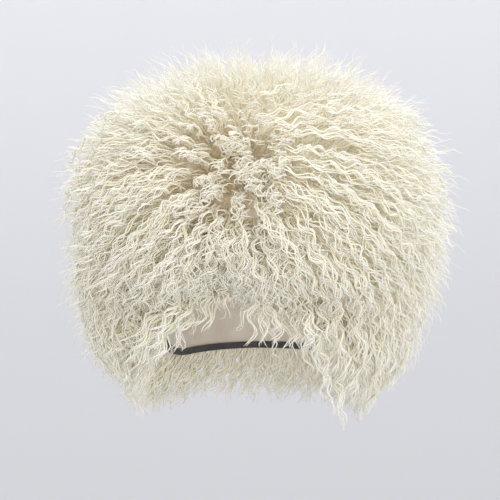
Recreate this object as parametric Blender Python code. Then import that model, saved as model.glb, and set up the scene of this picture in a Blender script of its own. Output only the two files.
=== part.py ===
"""Long-wool sheepskin hat: an oval cap of hide, its rim arched up over the forehead, with a coat of long locks.

Metres, +Z up, the front towards -Y. The origin is the middle of the head opening, level with the rim at the front.
A place on the cap is (around, down): around is the angle from the front, and down runs from 0 at the middle of
the crown through 1 at the crown seam to 2 at the rim.
"""

import math
import random

import bmesh
import bpy
from mathutils import Vector

# The head opening, measured inside the hide.
HEAD_BREADTH = 0.160
HEAD_LENGTH = 0.200

# The cap's inside: its height over the front of the rim, and the rounded shoulder below the crown.
CROWN_HEIGHT = 0.100
SHOULDER_HEIGHT = 0.046
SHOULDER_FULLNESS = 2.6
SEAM_FROM_CROWN_DEG = 48.0

# The rim arches up at the front and lies this much lower over the ears and the nape.
RIM_DROP = 0.074
ARCH_SPREAD_DEG = 115.0

HIDE_THICK = 0.002
GAP = 0.0003

# The tape that binds the rim lies inside the hide and turns under its cut edge.
BINDING_THICK = 0.001
BINDING_HEIGHT = 0.005

# The wool: its length along a lock, and the share of it that is dense underwool below the locks.
WOOL_LENGTH = 0.088
UNDERWOOL_SHARE = 0.46

# Over the forehead the wool is swept to both sides of a parting, and it is cut short towards the rim, from this
# share of the way down on.
PARTING_SWEEP_DEG = 20.0
PARTING_WIDTH_DEG = 11.0
PARTING_CUT_SHARE = 0.45
FRINGE_CUT_SHARE = 0.60
FRINGE_FULL_DEG = 30.0
FRINGE_END_DEG = 64.0
FRINGE_START_SHARE = 1.4

# How the wool grows at a place down the cap. Angles are above the horizontal, and length is a share of WOOL_LENGTH.
# (down, rise_at_root_deg, rise_at_tip_deg, length_share)
COMB_SHARES = (
    (0.00, 90.0, 84.0, 1.03),
    (0.50, 82.0, 58.0, 1.07),
    (1.00, 62.0, 14.0, 1.08),
    (1.30, 22.0, -34.0, 1.03),
    (1.55, 4.0, -54.0, 1.00),
    (1.80, -14.0, -74.0, 0.90),
    (2.00, -54.0, -93.0, 0.66),
)

# The share of the way from the seam to the rim at which the shoulder ends and the straight wall begins.
SHOULDER_SHARE = 0.30

# Every ring of points has this many, so that the faces of neighbours lie side by side.
AROUND = 60
CROWN_ROW_SHARES = (0.0, 0.34, 0.67, 1.0)
BAND_ROW_SHARES = (1.0, 1.10, 1.20, 1.30, 2.0)

# Rings of locks: (down_from, down_to, locks_around, first_divider_deg)
CROWN_LOCK_SHARES = (
    (0.00, 0.17, 1, 0.0),
    (0.17, 0.45, 5, 27.0),
    (0.45, 0.73, 10, 9.0),
    (0.73, 1.00, 20, 0.0),
)
BAND_LOCK_SHARES = (
    (1.00, 1.09, 30, 0.0),
    (1.09, 1.18, 30, 6.0),
    (1.18, 1.29, 30, 0.0),
    (1.29, 1.45, 30, 6.0),
    (1.45, 1.64, 30, 0.0),
    (1.64, 1.83, 30, 6.0),
    (1.83, 2.00, 30, 0.0),
)

# The rings' feet interlock like honeycomb, each corner moved by this share of its ring.
INTERLOCK_SHARE = 0.24

# A lock narrows and sways on its way to the tip. Its sway is under what it has narrowed, so it stays in its place.
# (share of the way from its foot to its tip, width as a share of its foot, sway as a share of half the foot)
LOCK_SECTION_SHARES = (
    (0.42, 0.88, 0.10),
    (0.74, 0.62, -0.34),
)
TIP_SWAY_SHARE = 0.55
TIP_SPREAD_SHARE = 0.10
LOCK_SEED = 11

# Base colour, roughness
HIDE_LOOK = ((0.80, 0.73, 0.60, 1.0), 0.85)
WOOL_LOOK = ((0.87, 0.82, 0.70, 1.0), 0.75)
BINDING_LOOK = ((0.020, 0.018, 0.016, 1.0), 0.80)

FULL_TURN = 2 * math.pi
SMALL_STEP = 1e-4


def clear_scene():
    for obj in list(bpy.data.objects):
        bpy.data.objects.remove(obj, do_unlink=True)


def material(name, look):
    colour, roughness = look
    made = bpy.data.materials.new(name)
    made.use_nodes = True
    shader = made.node_tree.nodes["Principled BSDF"]
    shader.inputs["Base Color"].default_value = colour
    shader.inputs["Roughness"].default_value = roughness
    shader.inputs["Metallic"].default_value = 0.0
    return made


def smooth(share):
    share = min(max(share, 0.0), 1.0)
    return share * share * (3 - 2 * share)


def mix(low, high, share):
    return low + (high - low) * share


def angle_from_front(around):
    """The unsigned angle from the front, 0 to pi."""
    return abs((around + math.pi) % FULL_TURN - math.pi)


def rim_height(around):
    """Height of the cap's cut edge."""
    return -RIM_DROP * smooth(angle_from_front(around) / math.radians(ARCH_SPREAD_DEG))


def shoulder_point(slope):
    """(share of the oval's half axes, height) on the rounded shoulder, slope 0 at the crown and pi/2 at the wall."""
    power = 2 / SHOULDER_FULLNESS
    wall_top = CROWN_HEIGHT - SHOULDER_HEIGHT
    return math.sin(slope) ** power, wall_top + SHOULDER_HEIGHT * max(math.cos(slope), 0.0) ** power


def inner_point(around, down):
    """A point of the cap's inner surface."""
    seam = math.radians(SEAM_FROM_CROWN_DEG)
    if down <= 1:
        reach = down * shoulder_point(seam)[0]
        height = CROWN_HEIGHT - SHOULDER_HEIGHT * (1 - (1 - reach**SHOULDER_FULLNESS) ** (1 / SHOULDER_FULLNESS))
    elif down <= 1 + SHOULDER_SHARE:
        reach, height = shoulder_point(mix(seam, math.pi / 2, (down - 1) / SHOULDER_SHARE))
    else:
        reach, wall_top = shoulder_point(math.pi / 2)
        height = mix(wall_top, rim_height(around), (down - 1 - SHOULDER_SHARE) / (1 - SHOULDER_SHARE))
    return Vector((reach * HEAD_BREADTH / 2 * math.sin(around), -reach * HEAD_LENGTH / 2 * math.cos(around), height))


def outward(around, down):
    """Unit normal of the cap, from the slopes of its inner surface."""
    if down < SMALL_STEP:
        return Vector((0, 0, 1))
    if down >= 1 + SHOULDER_SHARE:
        return Vector((math.sin(around) / HEAD_BREADTH, -math.cos(around) / HEAD_LENGTH, 0)).normalized()
    along = inner_point(around + SMALL_STEP, down) - inner_point(around - SMALL_STEP, down)
    below = inner_point(around, down + SMALL_STEP) - inner_point(around, down - SMALL_STEP)
    return below.cross(along).normalized()


def cap_point(around, down, out):
    """A point that lies out from the cap's inner surface."""
    return inner_point(around, down) + outward(around, down) * out


def comb_at(around, down):
    """(rise at the root, rise at the tip, length) of the wool there, in radians and metres."""
    last = len(COMB_SHARES) - 2
    row = min(sum(down > line[0] for line in COMB_SHARES[1:]), last)
    above, below = COMB_SHARES[row], COMB_SHARES[row + 1]
    share = (down - above[0]) / (below[0] - above[0])
    root, tip, length = (mix(above[i], below[i], share) for i in (1, 2, 3))
    aside = math.degrees(angle_from_front(around))
    fringe = 1 - smooth((aside - FRINGE_FULL_DEG) / (FRINGE_END_DEG - FRINGE_FULL_DEG))
    fringe *= smooth((down - FRINGE_START_SHARE) / (2 - FRINGE_START_SHARE))
    parting = math.exp(-((aside / PARTING_WIDTH_DEG) ** 2)) * smooth(down - 1)
    length *= (1 - FRINGE_CUT_SHARE * fringe) * (1 - PARTING_CUT_SHARE * parting)
    return math.radians(root), math.radians(tip), length * WOOL_LENGTH


def wool_point(around, down, share):
    """A point a share of the way along the wool that grows at a place. Neighbouring wool never crosses."""
    root, tip, length = comb_at(around, down)
    bend = min(tip - root, -SMALL_STEP)
    now = root + bend * share
    forth = length * (math.sin(now) - math.sin(root)) / bend
    up = length * (math.cos(root) - math.cos(now)) / bend
    front = max(0.0, math.cos(around)) * math.sin(around) * 2 * smooth(down - 1)
    sweep = math.radians(PARTING_SWEEP_DEG) * front * share
    flat = outward(around, max(down, 1 + SHOULDER_SHARE))
    heading = math.atan2(flat.x, -flat.y) + sweep
    start = cap_point(around, down, HIDE_THICK + GAP)
    return start + Vector((math.sin(heading) * forth, -math.cos(heading) * forth, up))


def ring_angles():
    return [FULL_TURN * i / AROUND for i in range(AROUND)]


def add_ring(mesh, place):
    """A ring of vertices, or a single one where the ring is a point."""
    points = [place(around) for around in ring_angles()]
    if (points[0] - points[AROUND // 2]).length < SMALL_STEP:
        return [mesh.verts.new(points[0])] * AROUND
    return [mesh.verts.new(point) for point in points]


def join_rings(mesh, first, second):
    """Faces between two rings of equal count."""
    count = len(first)
    for i in range(count):
        corners = (first[i], first[(i + 1) % count], second[(i + 1) % count], second[i])
        mesh.faces.new(list(dict.fromkeys(corners)))


def make_object(name, mesh, look_material):
    bmesh.ops.recalc_face_normals(mesh, faces=mesh.faces)
    data = bpy.data.meshes.new(name)
    mesh.to_mesh(data)
    mesh.free()
    data.shade_smooth()
    data.set_sharp_from_angle(angle=math.radians(50))
    data.materials.append(look_material)
    obj = bpy.data.objects.new(name, data)
    bpy.context.scene.collection.objects.link(obj)
    return obj


def make_hide(name, rows, look_material):
    """A panel of hide: its inner and outer surfaces, joined along the edges."""
    mesh = bmesh.new()
    inner = [add_ring(mesh, lambda a, d=down: cap_point(a, d, 0)) for down in rows]
    outer = [add_ring(mesh, lambda a, d=down: cap_point(a, d, HIDE_THICK)) for down in rows]
    for surface in (inner, outer):
        for first, second in zip(surface, surface[1:]):
            join_rings(mesh, first, second)
    for edge in (0, -1):
        if inner[edge][0] is not inner[edge][1]:
            join_rings(mesh, inner[edge], outer[edge])
    return make_object(name, mesh, look_material)


def make_binding(name, look_material):
    """The tape along the rim, an L in section: a leg inside the hide and a leg under its edge."""
    outer_leg = -GAP
    inner_leg = outer_leg - BINDING_THICK
    section = (
        (inner_leg, BINDING_HEIGHT),
        (outer_leg, BINDING_HEIGHT),
        (outer_leg, -GAP),
        (HIDE_THICK, -GAP),
        (HIDE_THICK, -GAP - BINDING_THICK),
        (inner_leg, -GAP - BINDING_THICK),
    )
    mesh = bmesh.new()
    rings = [
        add_ring(mesh, lambda a, o=out, u=up: cap_point(a, 2.0, o) + Vector((0, 0, u))) for out, up in section
    ]
    for first, second in zip(rings, rings[1:] + rings[:1]):
        join_rings(mesh, first, second)
    return make_object(name, mesh, look_material)


def dividers(count, first_deg):
    """The angles, in whole ring steps where they fall on one, that part a ring into locks."""
    if count < 2:
        return []
    return [round(math.degrees(FULL_TURN) * i / count + first_deg, 6) % 360 for i in range(count)]


class LockFeet:
    """The net of feet from which the locks rise, at the top of the underwool."""

    def __init__(self, mesh, rings):
        self.mesh = mesh
        self.rings = rings
        self.edges = []
        whole = [round(360 * i / AROUND, 6) for i in range(AROUND)]
        for line in range(len(rings) + 1):
            if line == 0 and rings[0][2] == 1:
                self.edges.append({})
                continue
            if line in (0, len(rings)):
                down = rings[0][0] if line == 0 else rings[-1][1]
                self.edges.append({a: self.foot(a, down) for a in whole})
                continue
            above, below = rings[line - 1], rings[line]
            lift = INTERLOCK_SHARE * (above[1] - above[0]) if above[2] > 1 else 0.0
            drop = INTERLOCK_SHARE * (below[1] - below[0]) if above[2] > 1 else 0.0
            corners = {a: self.foot(a, below[0] - lift) for a in dividers(*above[2:])}
            corners |= {a: self.foot(a, below[0] + drop) for a in dividers(*below[2:])}
            self.edges.append(corners)

    def foot(self, angle_deg, down):
        place = (math.radians(angle_deg), down)
        return self.mesh.verts.new(wool_point(*place, UNDERWOOL_SHARE)), place

    def border(self, line):
        """The border's vertices, one for each point of a ring."""
        return [vertex for _, (vertex, _) in sorted(self.edges[line].items())]

    def cell(self, ring, start_deg, width_deg):
        """[(vertex, (around, down))] round one foot. around is unwrapped, so that it runs on past a full turn."""
        corners = []
        for line, way in ((ring, 1), (ring + 1, -1)):
            found = []
            for angle, (vertex, (_, down)) in self.edges[line].items():
                turn = (angle - start_deg + 1e-4) % 360
                if turn <= width_deg + 2e-4:
                    found.append((turn, vertex, (math.radians(start_deg + turn), down)))
            corners += [(v, place) for _, v, place in sorted(found, key=lambda f: f[0])[::way]]
        return corners


def add_lock(mesh, corners, middle, sway, tip_share):
    """A tapering, swaying lock that rises from the corners of its foot to a point."""
    below = [vertex for vertex, _ in corners]
    for rise, width, way in LOCK_SECTION_SHARES:
        share = mix(UNDERWOOL_SHARE, tip_share, rise)
        ring = []
        for _, place in corners:
            at = [mid + (to - mid) * width + lean * way for mid, to, lean in zip(middle, place, sway)]
            ring.append(mesh.verts.new(wool_point(*at, share)))
        join_rings(mesh, below, ring)
        below = ring
    tip_at = [mid + lean * TIP_SWAY_SHARE for mid, lean in zip(middle, sway)]
    tip = mesh.verts.new(wool_point(*tip_at, tip_share))
    for i, vertex in enumerate(below):
        mesh.faces.new((vertex, below[(i + 1) % len(below)], tip))


def add_locks(mesh, feet, rings, dice):
    for line, (top, bottom, count, first_deg) in enumerate(rings):
        width = 360 / count
        for i in range(count):
            start = first_deg + width * i
            tip_share = 1 + dice.uniform(-TIP_SPREAD_SHARE, TIP_SPREAD_SHARE)
            aside = dice.uniform(0.4, 1.0)
            if count == 1:
                add_middle_lock(mesh, feet, tip_share)
                continue
            middle = (math.radians(start + width / 2), (top + bottom) / 2)
            sway = (
                dice.choice((-1, 1)) * aside * math.radians(width / 2),
                dice.choice((-1, 1)) * (1 - aside) * (bottom - top) / 2,
            )
            add_lock(mesh, feet.cell(line, start, width), middle, sway, tip_share)


def add_middle_lock(mesh, feet, tip_share):
    """The lock over the middle of the crown, whose foot is a whole ring."""
    corners = [(vertex, place) for _, (vertex, place) in sorted(feet.edges[1].items())]
    below = [vertex for vertex, _ in corners]
    for rise, width, _ in LOCK_SECTION_SHARES:
        ring = []
        share = mix(UNDERWOOL_SHARE, tip_share, rise)
        for _, (around, down) in corners:
            ring.append(mesh.verts.new(wool_point(around, down * width, share)))
        join_rings(mesh, below, ring)
        below = ring
    tip = mesh.verts.new(wool_point(0, 0, tip_share))
    for i, vertex in enumerate(below):
        mesh.faces.new((vertex, below[(i + 1) % len(below)], tip))


def make_wool(name, rows, rings, look_material, dice):
    """A coat of wool: its root surface on the hide, the underwool's borders, and the locks over it."""
    mesh = bmesh.new()
    roots = [add_ring(mesh, lambda a, d=down: cap_point(a, d, HIDE_THICK + GAP)) for down in rows]
    for first, second in zip(roots, roots[1:]):
        join_rings(mesh, first, second)
    feet = LockFeet(mesh, rings)
    if feet.edges[0]:
        join_rings(mesh, roots[0], feet.border(0))
    join_rings(mesh, roots[-1], feet.border(len(rings)))
    add_locks(mesh, feet, rings, dice)
    return make_object(name, mesh, look_material)


def seam_gap_down():
    """Half the gap at the crown seam, as steps down the crown and down the band."""
    seam = math.radians(SEAM_FROM_CROWN_DEG)
    crown_reach = shoulder_point(seam)[0] * HEAD_BREADTH / 2
    band_length = (inner_point(math.pi / 2, 1 + SMALL_STEP) - inner_point(math.pi / 2, 1)).length / SMALL_STEP
    return GAP / 2 / crown_reach, GAP / 2 / band_length


def with_ends(rows, first, last):
    return (first, *rows[1:-1], last)


def build():
    clear_scene()
    dice = random.Random(LOCK_SEED)
    hide = material("hide", HIDE_LOOK)
    wool = material("wool", WOOL_LOOK)
    tape = material("binding", BINDING_LOOK)
    crown_gap, band_gap = seam_gap_down()
    crown_end, band_start = 1 - crown_gap, 1 + band_gap
    crown_rows = with_ends(CROWN_ROW_SHARES, 0.0, crown_end)
    band_rows = with_ends(BAND_ROW_SHARES, band_start, 2.0)
    crown_rings = CROWN_LOCK_SHARES[:-1] + ((CROWN_LOCK_SHARES[-1][0], crown_end, *CROWN_LOCK_SHARES[-1][2:]),)
    band_rings = ((band_start, *BAND_LOCK_SHARES[0][1:]),) + BAND_LOCK_SHARES[1:]
    make_hide("crown_panel", crown_rows, hide)
    make_hide("side_band", band_rows, hide)
    make_binding("rim_binding", tape)
    make_wool("crown_wool", crown_rows, crown_rings, wool, dice)
    make_wool("band_wool", band_rows, band_rings, wool, dice)


build()
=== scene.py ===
import math

import bpy
import numpy as np
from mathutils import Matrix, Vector


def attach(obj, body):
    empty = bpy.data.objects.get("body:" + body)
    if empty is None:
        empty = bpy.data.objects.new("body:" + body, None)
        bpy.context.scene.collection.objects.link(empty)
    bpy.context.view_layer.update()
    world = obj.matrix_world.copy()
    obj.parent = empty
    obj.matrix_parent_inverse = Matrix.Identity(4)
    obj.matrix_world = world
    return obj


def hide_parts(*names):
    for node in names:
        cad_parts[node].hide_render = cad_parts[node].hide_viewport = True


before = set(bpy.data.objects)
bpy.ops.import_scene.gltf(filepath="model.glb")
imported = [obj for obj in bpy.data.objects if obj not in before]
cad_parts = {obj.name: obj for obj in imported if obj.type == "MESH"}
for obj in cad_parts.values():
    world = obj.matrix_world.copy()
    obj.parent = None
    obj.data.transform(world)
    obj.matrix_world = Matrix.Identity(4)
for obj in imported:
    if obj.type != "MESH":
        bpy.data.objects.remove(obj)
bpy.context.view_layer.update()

# The cap's form, as in the part's source, in metres. A place is (around, down, share): the angle from the front,
# 0 at the crown to 1 at the seam to 2 at the rim, and the share of the way along the wool.
HEAD_BREADTH = 0.160
HEAD_LENGTH = 0.200
CROWN_HEIGHT = 0.100
SHOULDER_HEIGHT = 0.046
SHOULDER_FULLNESS = 2.6
SEAM_FROM_CROWN_DEG = 48.0
SHOULDER_SHARE = 0.30
RIM_DROP = 0.074
ARCH_SPREAD_DEG = 115.0
HIDE_THICK = 0.002
WOOL_GAP = 0.0006
WOOL_LENGTH = 0.088
PARTING_SWEEP_DEG = 20.0
PARTING_WIDTH_DEG = 11.0
PARTING_CUT = 0.45
FRINGE_CUT = 0.60
FRINGE_FULL_DEG = 30.0
FRINGE_END_DEG = 64.0
FRINGE_START_DOWN = 1.4
# (down, rise_at_root_deg, rise_at_tip_deg, length_share)
COMB = np.array(
    (
        (0.00, 90.0, 84.0, 1.03),
        (0.50, 82.0, 58.0, 1.07),
        (1.00, 62.0, 14.0, 1.08),
        (1.30, 22.0, -34.0, 1.03),
        (1.55, 4.0, -54.0, 1.00),
        (1.80, -14.0, -74.0, 0.90),
        (2.00, -54.0, -93.0, 0.66),
    )
)

# The underwool, seen between the locks
UNDERWOOL_SHARE = 0.47
UNDERWOOL_LUMP = 0.08
UNDERWOOL_AROUND = 240
UNDERWOOL_CROWN_ROWS = 34
UNDERWOOL_BAND_ROWS = 62
UNDERWOOL_EDGE_ROWS = 8
UNDERWOOL_INNER_ROWS = 14
# (size, seed, weight)
UNDERWOOL_LUMPS = ((0.045, 3, 0.6), (0.016, 4, 0.4))
RIM_THINNING = 0.92
RIM_THINNING_FROM_DOWN = 1.72

# Noise: the waves of each octave, how much finer and fainter each octave is, and the level of them all
NOISE_WAVES = 4
NOISE_FINER = 1.9
NOISE_FAINTER = 1.7
NOISE_LEVEL = 3.2

# Strands. A clump is a few strands that draw together towards their tips.
CLUMP_SPACING = 0.0069
CLUMP_TRIES = 60000
STRANDS_PER_CLUMP = 3
MOST_STRANDS = 8900
# The share of the wool's length at which places are spaced out, and at which a step is measured
SPACED_SHARE = 0.7
PACED_SHARE = 0.8
STRAND_POINTS = 15
STRAND_START = 0.34
STRAND_RADIUS = 0.00080
STRAND_FRINGE_CUT = (0.66, 0.90)
LOWER_SWAY = -0.009
REACH = (0.74, 1.10)
REACH_MIDDLE = 0.99
GATHER = (0.5, 0.85)
CURL_GATHER = 0.88

# Waves: their length, how it and their phase change over the hat, how far they swing, and how flat they are
WAVE = 0.0225
WAVE_CHANGE = 0.004
WAVE_STRAY = 0.0012
PHASE_CHANGE = math.pi * 1.6
PHASE_STRAY = 0.75
SWING = (0.0020, 0.0042)
FLATNESS = (0.35, 0.9)
OWN_PHASE_STRAY = 0.35
OWN_WAVE = (0.014, 0.026)
OWN_SWING = (0.0003, 0.0013)
MOST_BRIGHT = 1.6

# Clumps lean together into tufts, most of all round the whorl, where the roots are browner: partly their own
# colour, partly painted shade between the tufts.
TUFT_SPACING = 0.019
TUFT_PULL = 0.22
WHORL_PULL = 0.78
WHORL_AT_DEG = -3.0
WHORL_DOWN = 1.14
WHORL_SIZE = 0.050

# Clumps along the rim, clumps that fill the parting, and single wisps that stand out of the coat
RIM_CLUMPS = 260
RIM_CLUMPS_DOWN = (1.96, 1.995)
PARTING_CLUMPS = 190
PARTING_CLUMPS_DOWN = (1.0, 1.75)
PARTING_SPREAD_DEG = 15.0
WISPS = 1000
WISPS_DOWN = 1.75
WISP_REACH = (1.03, 1.24)

# Loose forelocks that hang over the forehead, to both sides of the parting
FORELOCKS = 90
FORELOCK_FROM_DEG = 2.0
FORELOCK_TO_DEG = 66.0
FORELOCK_CROWDING = 0.8
FORELOCK_DOWN = (1.80, 1.99)
FORELOCK_CUT = (-0.05, 0.35)

# Long, thick curls at the sides of the arch (around_deg, down, wave, swing)
SIDE_CURLS = (
    (-66.0, 1.97, 0.042, 0.0042),
    (-72.0, 1.92, 0.038, 0.0036),
    (-58.0, 1.98, 0.036, 0.0032),
    (64.0, 1.90, 0.034, 0.0032),
    (70.0, 1.95, 0.040, 0.0038),
)
CURL_STRANDS = 11

# Long curls that lie draped over the coat. At the front they run away from the whorl, and elsewhere downwards.
DRAPE_SPACING = 0.0112
DRAPE_DOWN = (0.97, 1.93)
DRAPE_FRONT_DEG = 57.0
DRAPE_KEPT_BEHIND = 0.10
DRAPE_BARE_WHORL = 0.80
DRAPE_LENGTH = (0.045, 0.080)
DRAPE_FALL = 0.55
DRAPE_STRAY = 0.14
# From this angle, over that many degrees, they turn from running away from the whorl to falling.
DRAPE_TURNING_DEG = (70.0, 35.0)
DRAPE_FACE = (0.80, 0.98)
DRAPE_LOWEST = -0.128
DRAPE_HANG = 0.040
DRAPE_HANG_AHEAD = 0.006
DRAPE_HANG_DEG = (26.0, 28.0)
DRAPE_LONG_SHARE = 0.13
DRAPE_RIM_DOWN = 1.99
DRAPE_STEPS = 60
DRAPE_POINTS = 24
DRAPE_STRANDS = 3
DRAPE_WIDTH = 0.0075
DRAPE_RADIUS = 0.00058
DRAPE_GATHER = (0.3, 0.75)
DRAPE_WAVE = 0.0235
DRAPE_WAVE_CHANGE = 0.003
DRAPE_PHASE_CHANGE = 0.9
DRAPE_SWING = (0.0016, 0.0034)
DRAPE_FLAT = (0.2, 0.5)

# The strands' pieces: one on the crown, and one for each sector round the band, of equal counts
CROWN_WOOL_DOWN = 0.9
SECTORS = ("wool_front", "wool_left", "wool_back_left", "wool_back_right", "wool_right")

# Stitches
STITCH_LENGTH = 0.0052
STITCH_RADIUS = 0.0004
STITCH_ARCH = 0.0006
CROWN_STITCHES = 150
BACK_STITCHES = 34

# The studio sweep's profile, and the heights between which painted light makes it paler towards the top
SWEEP_RADIUS = 4.4
SWEEP_BEND = 1.4
SWEEP_FLOOR = -1.9
SWEEP_TOP = 3.8
SWEEP_SIDES = 96
SWEEP_PAINTED_LIGHT_HEIGHTS = (-1.3, 0.9)

# Lamps (name, place, size, power, colour)
LAMPS = (
    ("key", (-0.1, -1.9, 1.3), 1.8, 12.5, (1.0, 0.985, 0.96)),
    ("fill", (1.5, -1.5, 0.6), 1.7, 20.0, (1.0, 0.99, 0.975)),
    ("low_front", (0.2, -2.1, -0.4), 1.6, 10.5, (1.0, 0.985, 0.96)),
    ("top", (0.2, 0.0, 1.9), 1.5, 16.5, (1.0, 0.995, 0.98)),
    ("back", (-0.4, 1.9, 0.9), 1.4, 10.0, (1.0, 1.0, 1.0)),
)
LAMPS_AIM = (0.0, 0.0, 0.03)
WORLD_STRENGTH = 1.42
CAMERA_AZIMUTH_DEG = 9.0
CAMERA_ELEVATION_DEG = 4.0
CAMERA_DISTANCE = 1.30
CAMERA_LOOKS_AT = (-0.007, 0.0, 0.025)
CAMERA_LENS = 106.0

# Colours, linear
# The strands pale from root to tip: partly the wool's own tone, partly painted shade deep in the coat.
STRAND_ROOT = np.array((0.86, 0.78, 0.55))
STRAND_MIDDLE = np.array((0.91, 0.86, 0.65))
STRAND_TIP = np.array((0.91, 0.88, 0.75))
STRAND_WARMTH = np.array((0.05, 0.06, 0.085))
# Brown on the strands' roots at the whorl: partly the roots' own colour, partly painted shade between the tufts.
WHORL_BROWN_AND_SHADE = np.array((0.72, 0.57, 0.34))
# Painted shade between the whorl's tufts, mixed with the roots' own brown, laid on the underwool.
WHORL_UNDERWOOL_SHADE_AND_BROWN = np.array((0.70, 0.55, 0.36))
UNDERWOOL_DARK = (0.82, 0.74, 0.54, 1.0)
UNDERWOOL_LIGHT = (0.92, 0.87, 0.70, 1.0)
SUEDE_LIGHT = (0.76, 0.68, 0.54, 1.0)
SUEDE_DARK = (0.60, 0.50, 0.37, 1.0)
TAPE = (0.022, 0.020, 0.019, 1.0)
TAPE_RIB = (0.006, 0.005, 0.005, 1.0)
THREAD = (0.70, 0.62, 0.48, 1.0)
SWEEP_BASE = (0.8, 0.8, 0.81, 1.0)
SWEEP_PAINTED_SHADE_LOW = (0.60, 0.60, 0.605, 1.0)
SWEEP_PAINTED_LIGHT_HIGH = (0.89, 0.885, 0.91, 1.0)
WORLD_COLOUR = (0.93, 0.95, 1.0, 1.0)

FULL_TURN = 2 * math.pi
SMALL_STEP = 1e-4
PLACE_STEP = 0.01
rng = np.random.default_rng(5)


def smooth(share):
    share = np.clip(share, 0, 1)
    return share * share * (3 - 2 * share)


def mix(low, high, share):
    return low + (high - low) * share


def from_front(around):
    """The unsigned angle from the front."""
    return np.abs((around + math.pi) % FULL_TURN - math.pi)


def stack(x, y, z):
    return np.stack(np.broadcast_arrays(x, y, z), axis=-1)


def unit(vectors):
    return vectors / np.maximum(np.linalg.norm(vectors, axis=-1, keepdims=True), 1e-12)


def inner(around, down):
    """Points of the cap's inner surface."""
    power = 2 / SHOULDER_FULLNESS
    seam = math.radians(SEAM_FROM_CROWN_DEG)
    wall_top = CROWN_HEIGHT - SHOULDER_HEIGHT
    slope = mix(seam, math.pi / 2, np.clip((down - 1) / SHOULDER_SHARE, 0, 1))
    crown_reach = np.clip(down, 0, 1) * math.sin(seam) ** power
    crown_fall = 1 - (1 - crown_reach**SHOULDER_FULLNESS) ** (1 / SHOULDER_FULLNESS)
    reach = np.where(down <= 1, crown_reach, np.sin(slope) ** power)
    shoulder = wall_top + SHOULDER_HEIGHT * np.maximum(np.cos(slope), 0) ** power
    height = np.where(down <= 1, CROWN_HEIGHT - SHOULDER_HEIGHT * crown_fall, shoulder)
    rim = -RIM_DROP * smooth(from_front(around) / math.radians(ARCH_SPREAD_DEG))
    below = (down - 1 - SHOULDER_SHARE) / (1 - SHOULDER_SHARE)
    height = np.where(down > 1 + SHOULDER_SHARE, mix(wall_top, rim, below), height)
    return stack(reach * HEAD_BREADTH / 2 * np.sin(around), -reach * HEAD_LENGTH / 2 * np.cos(around), height)


def outward(around, down):
    """Unit normals of the cap."""
    down = np.maximum(down, 2 * SMALL_STEP)
    along = inner(around + SMALL_STEP, down) - inner(around - SMALL_STEP, down)
    below = inner(around, down + SMALL_STEP) - inner(around, down - SMALL_STEP)
    domed = unit(np.cross(below, along))
    wall = unit(stack(np.sin(around) / HEAD_BREADTH, -np.cos(around) / HEAD_LENGTH, np.zeros_like(around + down)))
    return np.where((down >= 1 + SHOULDER_SHARE)[..., None], wall, domed)


def wool(around, down, share, longer=1.0, fringe_cut=FRINGE_CUT):
    """Points a share of the way along the wool that grows at a place."""
    around, down, share = np.broadcast_arrays(around, down, share)
    root = np.radians(np.interp(down, COMB[:, 0], COMB[:, 1]))
    tip = np.radians(np.interp(down, COMB[:, 0], COMB[:, 2]))
    length = np.interp(down, COMB[:, 0], COMB[:, 3]) * WOOL_LENGTH * longer
    aside = np.degrees(from_front(around))
    fringe = 1 - smooth((aside - FRINGE_FULL_DEG) / (FRINGE_END_DEG - FRINGE_FULL_DEG))
    fringe = fringe * smooth((down - FRINGE_START_DOWN) / (2 - FRINGE_START_DOWN))
    parting = np.exp(-((aside / PARTING_WIDTH_DEG) ** 2)) * smooth(down - 1)
    length = length * (1 - fringe_cut * fringe) * (1 - PARTING_CUT * parting)
    bend = np.minimum(tip - root, -SMALL_STEP)
    now = root + bend * share
    forth = length * (np.sin(now) - np.sin(root)) / bend
    up = length * (np.cos(root) - np.cos(now)) / bend
    front = np.maximum(0, np.cos(around)) * np.sin(around) * 2 * smooth(down - 1)
    sweep = math.radians(PARTING_SWEEP_DEG) * front * share
    heading = np.arctan2(np.sin(around) / HEAD_BREADTH, np.cos(around) / HEAD_LENGTH) + sweep
    start = inner(around, down) + outward(around, down) * (HIDE_THICK + WOOL_GAP)
    return start + stack(np.sin(heading) * forth, -np.cos(heading) * forth, up)


def noise(points, size, seed, octaves=3):
    """Smooth noise from sums of sines in fixed directions, about -1 to 1."""
    draw = np.random.default_rng(seed)
    total = np.zeros(points.shape[:-1])
    for octave in range(octaves):
        for _ in range(NOISE_WAVES):
            way = unit(draw.normal(size=3)) * FULL_TURN / size * NOISE_FINER**octave
            total += np.sin(points @ way + draw.uniform(0, FULL_TURN)) / NOISE_FAINTER**octave
    return total / NOISE_LEVEL


def pace_around(around, down, share, here):
    """How far the wool moves for each radian round the cap."""
    return np.linalg.norm(wool(around + PLACE_STEP, down, share) - here, axis=1) / PLACE_STEP


def pace_down(around, down, share, here):
    """How far the wool moves for each step down the cap."""
    back = np.where(down > 1.9, -PLACE_STEP, PLACE_STEP)
    return np.linalg.norm(wool(around, down + back, share) - here, axis=1) / PLACE_STEP


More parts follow.
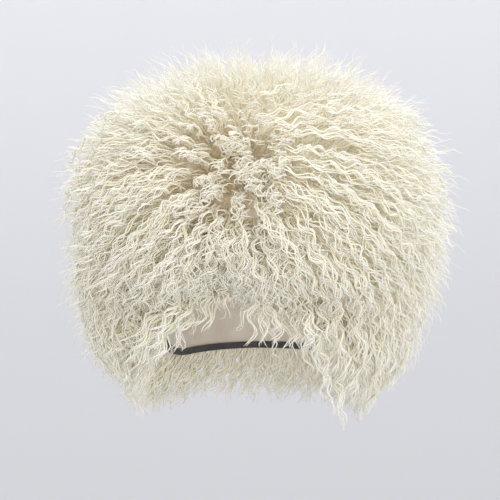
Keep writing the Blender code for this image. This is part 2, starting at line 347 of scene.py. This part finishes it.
def make_mesh(name, points, polygons, material, uv=None, tint=None):
    """An object from points and a list of (faces by corner index) arrays, one for each corner count."""
    data = bpy.data.meshes.new(name)
    corners = np.concatenate([faces.reshape(-1) for faces in polygons]).astype(np.int32)
    counts = np.concatenate([np.full(len(faces), faces.shape[1]) for faces in polygons]).astype(np.int32)
    starts = np.concatenate([[0], np.cumsum(counts)[:-1]]).astype(np.int32)
    data.vertices.add(len(points))
    data.vertices.foreach_set("co", points.astype(np.float32).reshape(-1))
    data.loops.add(len(corners))
    data.loops.foreach_set("vertex_index", corners)
    data.polygons.add(len(counts))
    data.polygons.foreach_set("loop_start", starts)
    if uv is not None:
        layer = data.uv_layers.new(name="OFBake")
        layer.uv.foreach_set("vector", uv.astype(np.float32).reshape(-1))
    if tint is not None:
        colour = data.color_attributes.new(name="tint", type="FLOAT_COLOR", domain="POINT")
        rgba = np.concatenate([tint, np.ones((len(tint), 1))], axis=1)
        colour.data.foreach_set("color", rgba.astype(np.float32).reshape(-1))
    data.update(calc_edges=True)
    data.validate()
    data.shade_smooth()
    data.materials.append(material)
    obj = bpy.data.objects.new(name, data)
    bpy.context.scene.collection.objects.link(obj)
    return obj


def new_material(name, colour, roughness):
    made = bpy.data.materials.new(name)
    made.use_nodes = True
    shader = made.node_tree.nodes["Principled BSDF"]
    shader.inputs["Base Color"].default_value = colour
    shader.inputs["Roughness"].default_value = roughness
    shader.inputs["Metallic"].default_value = 0.0
    return made, shader, made.node_tree


def node(tree, kind, **inputs):
    made = tree.nodes.new(kind)
    for name, value in inputs.items():
        made.inputs[name.replace("_", " ")].default_value = value
    return made


def ramp(tree, source, low, high, start, end):
    """A two-colour ramp driven by a node's output."""
    made = tree.nodes.new("ShaderNodeValToRGB")
    made.color_ramp.elements[0].position = start
    made.color_ramp.elements[0].color = low
    made.color_ramp.elements[1].position = end
    made.color_ramp.elements[1].color = high
    tree.links.new(source, made.inputs["Fac"])
    return made


def add_bump(tree, shader, source, strength, distance):
    bump = node(tree, "ShaderNodeBump", Strength=strength, Distance=distance)
    tree.links.new(source, bump.inputs["Height"])
    tree.links.new(bump.outputs["Normal"], shader.inputs["Normal"])


def add_attribute(tree):
    """The colours kept at the mesh's points."""
    made = tree.nodes.new("ShaderNodeAttribute")
    made.attribute_name = "tint"
    return made.outputs["Color"]


def object_space(tree):
    return tree.nodes.new("ShaderNodeTexCoord").outputs["Object"]


def wool_material():
    made, shader, tree = new_material("curly wool", (*STRAND_TIP, 1.0), roughness=0.62)
    shader.inputs["Sheen Weight"].default_value = 0.25
    shader.inputs["Sheen Roughness"].default_value = 0.45
    shader.inputs["Specular IOR Level"].default_value = 0.35
    tree.links.new(add_attribute(tree), shader.inputs["Base Color"])
    return made


def underwool_material():
    made, shader, tree = new_material("underwool", UNDERWOOL_LIGHT, roughness=0.9)
    shader.inputs["Sheen Weight"].default_value = 0.2
    where = object_space(tree)
    fibre = node(tree, "ShaderNodeTexNoise", Scale=420.0, Detail=6.0, Roughness=0.65, Distortion=1.2)
    tree.links.new(where, fibre.inputs["Vector"])
    look = ramp(tree, fibre.outputs["Fac"], UNDERWOOL_DARK, UNDERWOOL_LIGHT, start=0.35, end=0.68)
    # The fibre colours times the kept colours, which hold the painted shade and brown near the whorl.
    tinted_with_whorl_shade = tree.nodes.new("ShaderNodeVectorMath")
    tinted_with_whorl_shade.operation = "MULTIPLY"
    tree.links.new(look.outputs["Color"], tinted_with_whorl_shade.inputs[0])
    tree.links.new(add_attribute(tree), tinted_with_whorl_shade.inputs[1])
    tree.links.new(tinted_with_whorl_shade.outputs["Vector"], shader.inputs["Base Color"])
    add_bump(tree, shader, fibre.outputs["Fac"], strength=0.9, distance=0.002)
    return made


def suede_material():
    made, shader, tree = new_material("suede", SUEDE_LIGHT, roughness=0.92)
    shader.inputs["Sheen Weight"].default_value = 0.35
    where = object_space(tree)
    cloud = node(tree, "ShaderNodeTexNoise", Scale=38.0, Detail=5.0, Roughness=0.6)
    nap = node(tree, "ShaderNodeTexNoise", Scale=900.0, Detail=4.0, Roughness=0.7)
    tree.links.new(where, cloud.inputs["Vector"])
    tree.links.new(where, nap.inputs["Vector"])
    look = ramp(tree, cloud.outputs["Fac"], SUEDE_DARK, SUEDE_LIGHT, start=0.3, end=0.72)
    tree.links.new(look.outputs["Color"], shader.inputs["Base Color"])
    add_bump(tree, shader, nap.outputs["Fac"], strength=0.55, distance=0.0006)
    return made


def tape_material():
    made, shader, tree = new_material("woven tape", TAPE, roughness=0.8)
    where = object_space(tree)
    weave = node(tree, "ShaderNodeTexWave", Scale=260.0, Distortion=1.5, Detail=2.0)
    weave.bands_direction = "Z"
    tree.links.new(where, weave.inputs["Vector"])
    look = ramp(tree, weave.outputs["Fac"], TAPE_RIB, TAPE, start=0.2, end=0.8)
    tree.links.new(look.outputs["Color"], shader.inputs["Base Color"])
    add_bump(tree, shader, weave.outputs["Fac"], strength=0.6, distance=0.0005)
    return made


def thread_material():
    made, shader, tree = new_material("waxed thread", THREAD, roughness=0.55)
    twist = node(tree, "ShaderNodeTexNoise", Scale=1500.0, Detail=3.0)
    tree.links.new(object_space(tree), twist.inputs["Vector"])
    add_bump(tree, shader, twist.outputs["Fac"], strength=0.5, distance=0.0003)
    return made


def grid_faces(rows, columns):
    """Quads of a grid that is closed round its columns."""
    row = np.arange(rows - 1)[:, None] * columns
    here = np.arange(columns)[None, :]
    after = (here + 1) % columns
    return np.stack([row + here, row + after, row + columns + after, row + columns + here], -1).reshape(-1, 4)


def make_underwool(material):
    """The dense wool under the locks: one closed body from the hide out to its lumpy surface."""
    around = np.linspace(0, FULL_TURN, UNDERWOOL_AROUND, endpoint=False)
    crown_rows = np.linspace(0.01, 1.0, UNDERWOOL_CROWN_ROWS)
    outer_rows = np.concatenate([crown_rows, np.linspace(1.02, 2.0, UNDERWOOL_BAND_ROWS)])
    edge_shares = np.linspace(1, 0, UNDERWOOL_EDGE_ROWS)[1:]
    inner_rows = np.linspace(1.96, 0.01, UNDERWOOL_INNER_ROWS)
    rows = []
    for down in outer_rows:
        thick = 1 - RIM_THINNING * smooth((down - RIM_THINNING_FROM_DOWN) / (2 - RIM_THINNING_FROM_DOWN))
        flat = wool(around, np.full_like(around, down), UNDERWOOL_SHARE)
        lumps = sum(noise(flat, size, seed) * weight for size, seed, weight in UNDERWOOL_LUMPS)
        share = (UNDERWOOL_SHARE + UNDERWOOL_LUMP * lumps) * thick
        rows.append(wool(around, np.full_like(around, down), share))
    for part in edge_shares:
        rows.append(wool(around, np.full_like(around, 2.0), part * share))
    for down in inner_rows:
        rows.append(wool(around, np.full_like(around, down), 0.0))
    points = np.concatenate(rows)
    count = len(rows)
    top, root = len(points), len(points) + 1
    tops = np.stack([rows[0].mean(axis=0) + (0, 0, 0.0002), rows[-1].mean(axis=0)])
    here = np.arange(UNDERWOOL_AROUND)
    after = (here + 1) % UNDERWOOL_AROUND
    last = (count - 1) * UNDERWOOL_AROUND
    caps = np.concatenate(
        [
            np.stack([after, here, np.full_like(here, top)], -1),
            np.stack([last + here, last + after, np.full_like(here, root)], -1),
        ]
    )
    faces = grid_faces(count, UNDERWOOL_AROUND)
    points = np.concatenate([points, tops])
    # Near the whorl the underwool is darker and browner: painted shade between the tufts, with the roots' own
    # brown.
    whorl_shade_and_brown = np.clip(near_whorl(points) * 1.3, 0, 1)[:, None]
    tint = 1 + (WHORL_UNDERWOOL_SHADE_AND_BROWN - 1) * whorl_shade_and_brown
    return make_mesh("underwool", points, [faces, caps], material, tint=tint)


def place_clumps():
    """Clump places (around, down), evenly spaced over the wool's outer face."""
    around = rng.uniform(-math.pi, math.pi, CLUMP_TRIES)
    down = rng.uniform(0.02, 2.0, CLUMP_TRIES)
    chosen = evenly_spaced(wool(around, down, SPACED_SHARE), CLUMP_SPACING)
    return around[chosen], down[chosen]


def evenly_spaced(at, spacing):
    """Indices of points that lie at least that far apart, in the order given."""
    kept = np.empty((len(at), 3))
    chosen = []
    for i in range(len(at)):
        apart = kept[: len(chosen)] - at[i]
        if not len(chosen) or (np.einsum("ij,ij->i", apart, apart) > spacing**2).all():
            kept[len(chosen)] = at[i]
            chosen.append(i)
    return chosen


def tufts(around, down):
    """For each clump, the place of the tuft it leans into and how far it leans."""
    at = wool(around, down, SPACED_SHARE)
    order = rng.permutation(len(at))
    heads = order[evenly_spaced(at[order], TUFT_SPACING)]
    nearest = heads[np.argmin(np.linalg.norm(at[:, None] - at[heads][None], axis=2), axis=1)]
    near = near_whorl(at)
    turn = (around[nearest] - around + math.pi) % FULL_TURN - math.pi
    turn = np.where(down < 0.3, 0, turn)
    return turn, down[nearest] - down, TUFT_PULL + (WHORL_PULL - TUFT_PULL) * near, near


def whorl_at(share):
    return wool(np.array(math.radians(WHORL_AT_DEG)), np.array(WHORL_DOWN), share)


def near_whorl(at):
    """How near points are to the whorl, 1 at its middle."""
    whorl = whorl_at(SPACED_SHARE)
    return np.exp(-((np.linalg.norm(at - whorl, axis=-1) / WHORL_SIZE) ** 2))


def past(around, from_deg, over_deg):
    """A smooth step from 0 to 1 over some degrees away from the front."""
    return smooth((np.abs(around) - math.radians(from_deg)) / math.radians(over_deg))


def drape_paths():
    """Places (around, down), for each point of each draped curl, and how far each point hangs below the rim."""
    tries = CLUMP_TRIES // 4
    around = rng.uniform(-math.pi, math.pi, tries)
    down = rng.uniform(*DRAPE_DOWN, tries)
    bare = near_whorl(wool(around, down, SPACED_SHARE)) > DRAPE_BARE_WHORL
    around, down = around[~bare], down[~bare]
    chosen = evenly_spaced(wool(around, down, 1.0), DRAPE_SPACING)
    ahead = np.abs(around[chosen]) < math.radians(DRAPE_FRONT_DEG)
    chosen = np.array(chosen)[ahead | (rng.uniform(0, 1, len(chosen)) < DRAPE_KEPT_BEHIND)]
    around, down = around[chosen], down[chosen]
    count = len(around)
    front = 1 - past(around, *DRAPE_TURNING_DEG)
    away = unit(wool(around, down, 1.0) - whorl_at(1.0))
    across = away[:, 0] * front + rng.normal(0, DRAPE_STRAY, count)
    fall = -away[:, 2] * front + DRAPE_FALL + (1 - front)
    size = np.hypot(across, fall)
    across, fall = across / size, fall / size
    stride = rng.uniform(*DRAPE_LENGTH, count) / DRAPE_STEPS
    rows = [(around, down, np.zeros(count))]
    hang = np.zeros(count)
    most_hang = mix(DRAPE_HANG_AHEAD, DRAPE_HANG, past(around, *DRAPE_HANG_DEG))
    most_hang = np.where(rng.uniform(0, 1, count) < DRAPE_LONG_SHARE, DRAPE_HANG, most_hang)
    room = np.ones(count, bool)
    steps = np.zeros(count)
    for _ in range(DRAPE_STEPS):
        here = wool(around, down, 1.0)
        per_around = pace_around(around, down, 1.0, here)
        per_down = pace_down(around, down, 1.0, here)
        around = around + across * stride / per_around
        down = down + fall * stride / per_down
        hang = hang + np.maximum(down - DRAPE_RIM_DOWN, 0) * per_down
        down = np.minimum(down, DRAPE_RIM_DOWN)
        room = room & (hang < most_hang) & ((hang == 0) | (here[:, 2] - hang > DRAPE_LOWEST))
        steps = steps + room
        rows.append((around, down, hang))
    fine = np.array(rows)
    paths = np.empty((3, count, DRAPE_POINTS))
    for i in range(count):
        at = np.linspace(0, max(steps[i], DRAPE_STEPS / 4), DRAPE_POINTS)
        for j in range(3):
            paths[j, i] = np.interp(at, np.arange(DRAPE_STEPS + 1), fine[:, j, i])
    return paths


def add_waves(line, first, owner, wave, phase, swing, flat):
    """Curls: each clump waves as one, and each strand adds a little of its own."""
    count = len(line)
    second = np.cross(unit(np.gradient(line, axis=1)), first)
    moved = np.linalg.norm(np.diff(line, axis=1), axis=2)
    run = np.concatenate([np.zeros((count, 1)), np.cumsum(moved, axis=1)], axis=1)
    grow = smooth((np.linspace(0, 1, line.shape[1])[None, :] + 0.15) / 0.7)
    stray = rng.normal(0, OWN_PHASE_STRAY, count)[:, None]
    angle = FULL_TURN * run / wave[owner][:, None] + phase[owner][:, None] + stray
    wide = swing[owner][:, None] * grow
    line = line + first * (wide * np.cos(angle))[..., None]
    line = line + second * (wide * flat[owner][:, None] * np.sin(angle))[..., None]
    own_wave = rng.uniform(*OWN_WAVE, count)[:, None]
    own_swing = rng.uniform(*OWN_SWING, count)[:, None] * grow
    own_angle = FULL_TURN * run / own_wave + rng.uniform(0, FULL_TURN, count)[:, None]
    line = line + first * (own_swing * np.sin(own_angle))[..., None]
    return line + second * (own_swing * np.cos(own_angle))[..., None]


def brightness(clumps, owner):
    """How much paler or darker each strand is, partly shared by its clump."""
    both = rng.normal(0, 0.5, clumps)[owner] + rng.normal(0, 0.6, len(owner))
    return np.clip(both, -MOST_BRIGHT, MOST_BRIGHT)


def grow_drapes():
    """The draped curls' strands: they rise out of the coat and then follow its face."""
    paths = drape_paths()
    clumps = paths.shape[1]
    owner = np.repeat(np.arange(clumps), DRAPE_STRANDS)
    count = len(owner)
    step = np.linspace(0, 1, DRAPE_POINTS)[None, :]
    here = wool(paths[0, :, 0], paths[1, :, 0], 1.0)
    per_around = pace_around(paths[0, :, 0], paths[1, :, 0], 1.0, here)
    gather = rng.uniform(*DRAPE_GATHER, clumps)[owner][:, None]
    drawn = 1 - gather * smooth((step + 0.1) / 0.7)
    apart = rng.uniform(-0.5, 0.5, count) * DRAPE_WIDTH / per_around[owner]
    around = paths[0][owner] + apart[:, None] * drawn
    down = np.clip(paths[1][owner] + rng.normal(0, 0.012, count)[:, None] * drawn, 0.015, 2.0)
    face = rng.uniform(*DRAPE_FACE, clumps)[owner] + rng.normal(0, 0.012, count)
    line = wool(around, down, mix(0.45, face[:, None], smooth(step / 0.4)))
    line[..., 2] -= paths[2][owner]
    line[..., 0] += LOWER_SWAY * smooth((down - 1.3) / 0.6)
    along = unit(np.gradient(line, axis=1))
    first = unit(np.cross(along, unit(line - (0, 0, 0.05))))
    wave = DRAPE_WAVE + DRAPE_WAVE_CHANGE * noise(here, 0.06, 22, 1) + rng.normal(0, WAVE_STRAY, clumps)
    phase = PHASE_CHANGE * noise(here, 0.045, 21, 2) + rng.normal(0, DRAPE_PHASE_CHANGE, clumps)
    swing = rng.uniform(*DRAPE_SWING, clumps)
    line = add_waves(line, first, owner, wave, phase, swing, rng.uniform(*DRAPE_FLAT, clumps))
    radius = DRAPE_RADIUS * rng.uniform(0.75, 1.25, count)
    # The last value is how much of the whorl's brown and painted shade each strand takes.
    return line, first, around, down, radius, brightness(clumps, owner), near_whorl(here)[owner]


def grow_strands():
    """Centre lines of all strands, (strand, point, xyz), with each strand's place, radius and brightness."""
    clump_around, clump_down = place_clumps()
    sides = rng.choice((-1, 1), FORELOCKS)
    fore_aside = rng.uniform(0, 1, FORELOCKS) ** FORELOCK_CROWDING
    fore_around = np.radians(mix(FORELOCK_FROM_DEG, FORELOCK_TO_DEG, fore_aside)) * sides
    fore_down = rng.uniform(*FORELOCK_DOWN, FORELOCKS)
    rim_around = np.linspace(-math.pi, math.pi, RIM_CLUMPS, endpoint=False) + rng.normal(0, 0.01, RIM_CLUMPS)
    rim_down = rng.uniform(*RIM_CLUMPS_DOWN, RIM_CLUMPS)
    curls = np.array(SIDE_CURLS)
    fill_around = np.radians(rng.uniform(-PARTING_SPREAD_DEG, PARTING_SPREAD_DEG, PARTING_CLUMPS))
    fill_down = rng.uniform(*PARTING_CLUMPS_DOWN, PARTING_CLUMPS)
    wisp_around = rng.uniform(-math.pi, math.pi, WISPS)
    wisp_down = WISPS_DOWN * np.sqrt(rng.uniform(0.01, 1, WISPS))
    parts = (len(clump_around), FORELOCKS, RIM_CLUMPS, len(curls), PARTING_CLUMPS, WISPS)
    kind = np.repeat(("coat", "fore", "rim", "curl", "fill", "wisp"), parts)
    is_coat, is_fore, is_curl, is_wisp = kind == "coat", kind == "fore", kind == "curl", kind == "wisp"
    clumps = len(kind)
    starts = (fore_around, rim_around, np.radians(curls[:, 0]), fill_around, wisp_around)
    clump_around = np.concatenate([clump_around, *starts])
    clump_down = np.concatenate([clump_down, fore_down, rim_down, curls[:, 1], fill_down, wisp_down])
    per_clump = np.where(is_curl, CURL_STRANDS, STRANDS_PER_CLUMP)
    owner = np.repeat(np.arange(clumps), np.where(is_wisp, 1, per_clump))
    lean_around, lean_down, lean, root_brown_and_shade = tufts(clump_around, clump_down)
    lean = np.where(is_coat, lean, 0)
    if len(owner) > MOST_STRANDS:
        spare = rng.permutation(np.flatnonzero(is_coat[owner]))[: len(owner) - MOST_STRANDS]
        owner = np.delete(owner, spare)
    count = len(owner)
    step = np.linspace(0, 1, STRAND_POINTS)[None, :]

    # How far a step round or down the cap moves the wool, to turn a clump's width into a spread of places.
    here = wool(clump_around, clump_down, PACED_SHARE)
    per_around = pace_around(clump_around, clump_down, PACED_SHARE, here)
    per_down = pace_down(clump_around, clump_down, PACED_SHARE, here)
    turn = rng.uniform(0, FULL_TURN, count)
    out = np.sqrt(rng.uniform(0.05, 1, count)) * CLUMP_SPACING * 0.85
    d_around = out * np.cos(turn) / per_around[owner]
    d_down = out * np.sin(turn) / per_down[owner]

    # Lower locks draw together into points, and the crown's wool stays loose.
    lower = smooth((clump_down - 0.6) / 0.8)
    gather = rng.uniform(*GATHER, clumps) + 0.1 * lower
    gather = np.where(is_curl, CURL_GATHER, gather)[owner][:, None]
    drawn = 1 - gather * smooth((step + 0.1) / 0.7)
    leaning = lean[owner][:, None] * smooth((step - 0.05) / 0.95)
    down = clump_down[owner][:, None] + d_down[:, None] * drawn + lean_down[owner][:, None] * leaning
    down = np.clip(down, 0.015, 2.0)
    around = clump_around[owner][:, None] + d_around[:, None] * drawn + lean_around[owner][:, None] * leaning
    drift = rng.normal(0, 0.04, clumps)[owner][:, None] + rng.normal(0, 0.014, count)[:, None]
    around = around + drift * step**2

    reach = rng.normal(REACH_MIDDLE, 0.06, clumps)[owner] + rng.normal(0, 0.04, count)
    reach = np.clip(reach, *REACH)
    reach = np.where(is_wisp[owner], rng.uniform(*WISP_REACH, count), reach)[:, None]
    begin = mix(STRAND_START, 0.03, smooth((down[:, :1] - 1.86) / 0.12))
    share = begin + (reach - begin) * step
    fore_cut = rng.uniform(*FORELOCK_CUT, clumps)
    fringe_cut = np.where(is_fore, fore_cut, rng.uniform(*STRAND_FRINGE_CUT, clumps))
    fringe_cut = np.where(is_curl, 0.0, fringe_cut)[owner][:, None]
    line = wool(around, down, share, 1.0, fringe_cut)
    line[..., 0] += LOWER_SWAY * smooth((down - 1.3) / 0.6) * share**2

    along = unit(np.gradient(line, axis=1))
    aside = stack(np.cos(around), np.sin(around), np.zeros_like(around))
    first = unit(aside - along * np.einsum("ijk,ijk->ij", along, aside)[..., None])
    wave = WAVE + WAVE_CHANGE * noise(here, 0.06, 22, 1) + rng.normal(0, WAVE_STRAY, clumps)
    wave[is_curl] = curls[:, 2]
    phase = PHASE_CHANGE * noise(here, 0.045, 21, 2) + rng.normal(0, PHASE_STRAY, clumps)
    swing = rng.uniform(*SWING, clumps)
    swing[is_curl] = curls[:, 3]
    line = add_waves(line, first, owner, wave, phase, swing, rng.uniform(*FLATNESS, clumps))

    radius = STRAND_RADIUS * rng.uniform(0.7, 1.25, count) * np.where(is_wisp[owner], 0.6, 1.0)
    return line, first, around, down, radius, brightness(clumps, owner), root_brown_and_shade[owner]


def strand_template(rings):
    """One strand's faces: quads along its three sides, its tip and its base, with their places in a unit cell."""
    tip = rings * 3
    quads, quad_uv, tris, tri_uv = [], [], [], []
    for ring in range(rings - 1):
        low, high = ring / rings, (ring + 1) / rings
        for side in range(3):
            after = (side + 1) % 3
            quads.append((ring * 3 + side, ring * 3 + after, ring * 3 + 3 + after, ring * 3 + 3 + side))
            left, right = side / 3, (side + 1) / 3
            quad_uv.append(((left, low), (right, low), (right, high), (left, high)))
    low = (rings - 1) / rings
    for side in range(3):
        after = (side + 1) % 3
        tris.append(((rings - 1) * 3 + side, (rings - 1) * 3 + after, tip))
        tri_uv.append(((side / 3, low), ((side + 1) / 3, low), ((side + 0.5) / 3, 1.0)))
    tris.append((2, 1, 0))
    tri_uv.append(((0.9, -0.01), (0.1, -0.01), (0.5, -0.05)))
    return np.array(quads), np.array(quad_uv), np.array(tris), np.array(tri_uv)


def make_strands(name, chosen, strands, material):
    """One piece of wool, made of closed, tapering tubes."""
    line, side, _, _, radius, bright, root_brown_and_shade = strands
    line, side, radius, bright = line[chosen], side[chosen], radius[chosen], bright[chosen]
    root_brown_and_shade = root_brown_and_shade[chosen][:, None, None]
    count = len(line)
    step = np.linspace(0, 1, line.shape[1])
    along = unit(np.gradient(line, axis=1))
    first = unit(side - along * np.einsum("ijk,ijk->ij", along, side)[..., None])
    second = np.cross(along, first)
    taper = 1 - 0.62 * smooth((step - 0.55) / 0.45)
    thick = radius[:, None] * taper[None, :]
    corners = np.radians((90, 210, 330))
    rings = line[:, :-1, None, :] + thick[:, :-1, None, None] * (
        first[:, :-1, None, :] * np.cos(corners)[None, None, :, None]
        + second[:, :-1, None, :] * np.sin(corners)[None, None, :, None]
    )
    points = np.concatenate([rings.reshape(count, -1, 3), line[:, -1:, :]], axis=1)
    each = points.shape[1]

    quads, quad_uv, tris, tri_uv = strand_template(line.shape[1] - 1)
    offset = (np.arange(count) * each)[:, None, None]
    columns = math.ceil(math.sqrt(count * 2.2))
    lines = math.ceil(count / columns)
    cell = np.stack([np.arange(count) % columns, np.arange(count) // columns], -1)[:, None, None, :]
    size = np.array((1 / columns, 1 / lines))
    inset = np.array((0.08, 0.08))
    quad_places = (cell + inset + quad_uv[None] * (1 - 2 * inset)) * size
    tri_places = (cell + inset + tri_uv[None] * (1 - 2 * inset)) * size
    uv = np.concatenate([quad_places.reshape(-1, 2), tri_places.reshape(-1, 2)])

    # Darker, yellower roots: partly the wool's own tone, partly painted shade deep in the coat.
    pale = smooth((step - 0.02) / 0.5)[None, :, None]
    paler = smooth((step - 0.4) / 0.6)[None, :, None]
    tint = STRAND_ROOT * (1 - pale) + STRAND_MIDDLE * pale
    tint = tint * (1 - paler) + STRAND_TIP * paler
    # Near the whorl the roots turn brown: partly their own colour, partly painted shade between the tufts.
    tint = tint * (1 + (WHORL_BROWN_AND_SHADE - 1) * root_brown_and_shade * (1 - 0.78 * pale))
    tint = np.clip(tint * (1 + bright[:, None, None] * STRAND_WARMTH), 0, 0.96)
    tint = np.concatenate([np.repeat(tint[:, :-1], 3, axis=1), tint[:, -1:]], axis=1)
    faces = [(quads[None] + offset).reshape(-1, 4), (tris[None] + offset).reshape(-1, 3)]
    return make_mesh(name, points.reshape(-1, 3), faces, material, uv, tint.reshape(-1, 3))


def make_stitches(name, start, across, material):
    """Whip stitches: short fat loops of thread, laid across a seam at each start point."""
    sides, rings = 6, 6
    step = np.linspace(0, 1, rings)
    turn = np.linspace(0, FULL_TURN, sides, endpoint=False)
    points, faces, caps = [], [], []
    for place, (way, lift) in zip(start, across):
        base = len(points) * sides
        centre = place + np.outer(step - 0.5, way) + np.outer(np.sin(step * math.pi) * STITCH_ARCH, lift)
        other = unit(np.cross(way, lift))
        for at in centre:
            ring = at + STITCH_RADIUS * (np.outer(np.cos(turn), lift) + np.outer(np.sin(turn), other))
            points.append(ring)
        for i in range(rings - 1):
            for j in range(sides):
                k = (j + 1) % sides
                low, high = base + i * sides, base + (i + 1) * sides
                faces.append((low + j, low + k, high + k, high + j))
        caps.append([base + j for j in range(sides)][::-1])
        caps.append([base + (rings - 1) * sides + j for j in range(sides)])
    return make_mesh(name, np.concatenate(points), [np.array(faces), np.array(caps)], material)


def stitch_crown_and_back(material):
    """The seam round the crown panel and the one down the back of the band."""
    starts, ways = [], []
    for around in np.linspace(0, FULL_TURN, CROWN_STITCHES, endpoint=False):
        here = inner(np.array(around), np.array(1.0))
        along = unit(inner(np.array(around + 0.01), np.array(1.0)) - here)
        below = unit(inner(np.array(around), np.array(1.04)) - inner(np.array(around), np.array(0.97)))
        lift = -outward(np.array(around), np.array(1.001))
        starts.append(here + lift * 0.0005)
        ways.append(((below * 0.9 + along * 0.45) * STITCH_LENGTH, lift))
    for down in np.linspace(1.05, 1.96, BACK_STITCHES):
        here = inner(np.array(math.pi), np.array(down))
        along = np.array((1.0, 0.0, 0.0))
        below = unit(inner(np.array(math.pi), np.array(down + 0.01)) - here)
        lift = -outward(np.array(math.pi), np.array(down))
        starts.append(here + lift * 0.0004)
        ways.append(((along * 0.9 + below * 0.45) * STITCH_LENGTH, lift))
    return make_stitches("seam_stitches", starts, ways, material)


def make_stage():
    """A round, bowl-shaped studio sweep, the same from every side."""
    flat = SWEEP_RADIUS - SWEEP_BEND
    profile = [(0.001, SWEEP_FLOOR), (flat, SWEEP_FLOOR)]
    for angle in np.linspace(0, math.pi / 2, 13)[1:]:
        profile.append((flat + SWEEP_BEND * math.sin(angle), SWEEP_FLOOR + SWEEP_BEND * (1 - math.cos(angle))))
    profile.append((SWEEP_RADIUS, SWEEP_TOP))
    around = np.linspace(0, FULL_TURN, SWEEP_SIDES, endpoint=False)
    rows = [stack(reach * np.sin(around), -reach * np.cos(around), height) for reach, height in profile]
    made, shader, tree = new_material("studio sweep", SWEEP_BASE, roughness=0.95)
    height = tree.nodes.new("ShaderNodeSeparateXYZ")
    tree.links.new(object_space(tree), height.inputs["Vector"])
    # Painted light: the sweep is darker low down and paler high up.
    spread = node(tree, "ShaderNodeMapRange", From_Min=SWEEP_PAINTED_LIGHT_HEIGHTS[0], From_Max=SWEEP_PAINTED_LIGHT_HEIGHTS[1])
    tree.links.new(height.outputs["Z"], spread.inputs["Value"])
    look = ramp(tree, spread.outputs["Result"], SWEEP_PAINTED_SHADE_LOW, SWEEP_PAINTED_LIGHT_HIGH, start=0.0, end=1.0)
    tree.links.new(look.outputs["Color"], shader.inputs["Base Color"])
    faces = grid_faces(len(rows), SWEEP_SIDES)[:, ::-1]
    sweep = make_mesh("studio_sweep", np.concatenate(rows), [faces], made)


def add_light(name, place, size, power, colour):
    data = bpy.data.lights.new(name, "AREA")
    data.shape = "DISK"
    data.size = size
    data.energy = power
    data.color = colour
    lamp = bpy.data.objects.new(name, data)
    lamp.location = place
    lamp.rotation_euler = (Vector(LAMPS_AIM) - Vector(place)).to_track_quat("-Z", "Y").to_euler()
    lamp.visible_camera = False
    bpy.context.scene.collection.objects.link(lamp)


def add_camera():
    data = bpy.data.cameras.new("camera")
    data.lens = CAMERA_LENS
    data.sensor_width = 36.0
    camera = bpy.data.objects.new("camera", data)
    azimuth, elevation = math.radians(CAMERA_AZIMUTH_DEG), math.radians(CAMERA_ELEVATION_DEG)
    flat = math.cos(elevation)
    back = Vector((math.sin(azimuth) * flat, -math.cos(azimuth) * flat, math.sin(elevation)))
    camera.location = Vector(CAMERA_LOOKS_AT) + back * CAMERA_DISTANCE
    camera.rotation_euler = (-back).to_track_quat("-Z", "Y").to_euler()
    bpy.context.scene.collection.objects.link(camera)
    bpy.context.scene.camera = camera


def dress():
    """Looks for the solids that stay, and the pieces that show the wool and the stitches."""
    wool_look = wool_material()
    suede = suede_material()
    for name, look in (("crown_panel", suede), ("side_band", suede), ("rim_binding", tape_material())):
        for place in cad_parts[name].material_slots:
            place.material = look

    under = make_underwool(underwool_material())
    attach(under, "root")
    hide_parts("crown_wool", "band_wool")

    stitches = stitch_crown_and_back(thread_material())
    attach(stitches, "root")

    strands = grow_strands()
    around = strands[2][:, 0] % FULL_TURN
    down = strands[3][:, 0]
    groups = {"wool_crown": np.flatnonzero(down < CROWN_WOOL_DOWN)}
    rest = np.flatnonzero(down >= CROWN_WOOL_DOWN)
    rest = rest[np.argsort((around[rest] + math.pi / len(SECTORS)) % FULL_TURN, kind="stable")]
    for name, chosen in zip(SECTORS, np.array_split(rest, len(SECTORS))):
        groups[name] = np.sort(chosen)
    pieces = [make_strands(name, chosen, strands, wool_look) for name, chosen in groups.items()]
    drapes = grow_drapes()
    pieces.append(make_strands("wool_draped", np.arange(len(drapes[0])), drapes, wool_look))
    for piece in pieces:
        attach(piece, "root")


def light_and_shoot():
    make_stage()
    world = bpy.data.worlds.new("studio")
    world.use_nodes = True
    background = world.node_tree.nodes["Background"]
    background.inputs["Color"].default_value = WORLD_COLOUR
    background.inputs["Strength"].default_value = WORLD_STRENGTH
    bpy.context.scene.world = world
    for lamp in LAMPS:
        add_light(*lamp)
    add_camera()
    view = bpy.context.scene.view_settings
    view.view_transform = "Standard"
    view.look = "None"
    view.gamma = 1.42
    view.exposure = -0.22
    bpy.context.scene.cycles.diffuse_bounces = 10


dress()
light_and_shoot()
